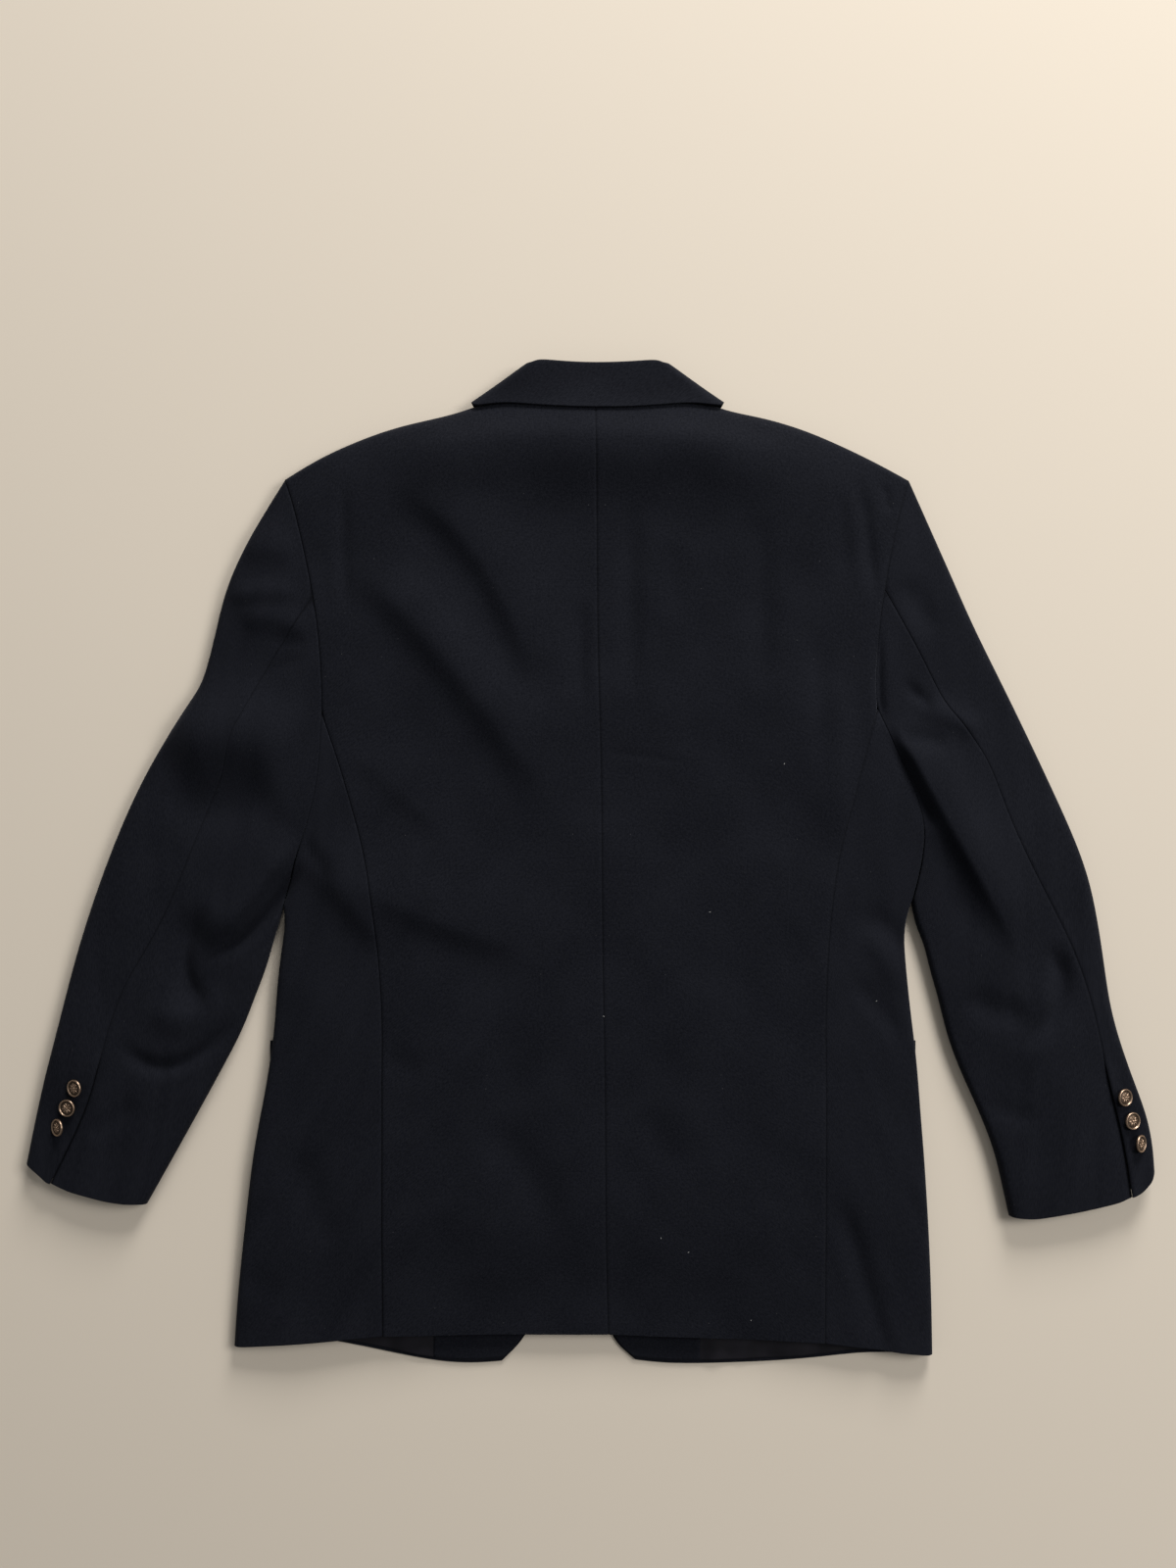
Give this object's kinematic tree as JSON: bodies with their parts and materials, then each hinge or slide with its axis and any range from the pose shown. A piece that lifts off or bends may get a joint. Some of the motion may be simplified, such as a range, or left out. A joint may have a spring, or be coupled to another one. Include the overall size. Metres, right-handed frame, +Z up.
{
  "type": "blazer",
  "caption": "Single-breasted tailored blazer laid flat on its front, with a plain back, two-piece sleeves, metal cuff buttons and cutaway front hems.",
  "frame": {"origin": "on the floor under the middle of the laid-out blazer", "axes": "+X towards the wearer's right sleeve, +Y towards the collar, +Z up out of the back"},
  "size_m": [0.9542, 0.8471, 0.0227],
  "materials": {
    "navy_wool": "matt worsted twill with a faint nap",
    "satin_lining": "dark satin with a soft sheen",
    "antique_brass": "dull, darkened in the recesses"
  },
  "bodies": {
    "root": {"back_left": "navy_wool", "back_right": "navy_wool", "side_left": "navy_wool", "side_right": "navy_wool", "front_left": "navy_wool", "front_right": "navy_wool", "lapel_left": "navy_wool", "lapel_right": "navy_wool", "topsleeve_left": "navy_wool", "topsleeve_right": "navy_wool", "undersleeve_left": "navy_wool", "undersleeve_right": "navy_wool", "facing_left": "navy_wool", "facing_right": "navy_wool", "pocket_flap_left": "navy_wool", "pocket_flap_right": "navy_wool", "collar": "navy_wool", "lining_left": "satin_lining", "lining_right": "satin_lining", "cuff_button_left_1": "antique_brass", "cuff_button_left_2": "antique_brass", "cuff_button_left_3": "antique_brass", "cuff_button_right_1": "antique_brass", "cuff_button_right_2": "antique_brass", "cuff_button_right_3": "antique_brass", "front_button_1": "antique_brass", "front_button_2": "antique_brass"}
  },
  "joints": []
}
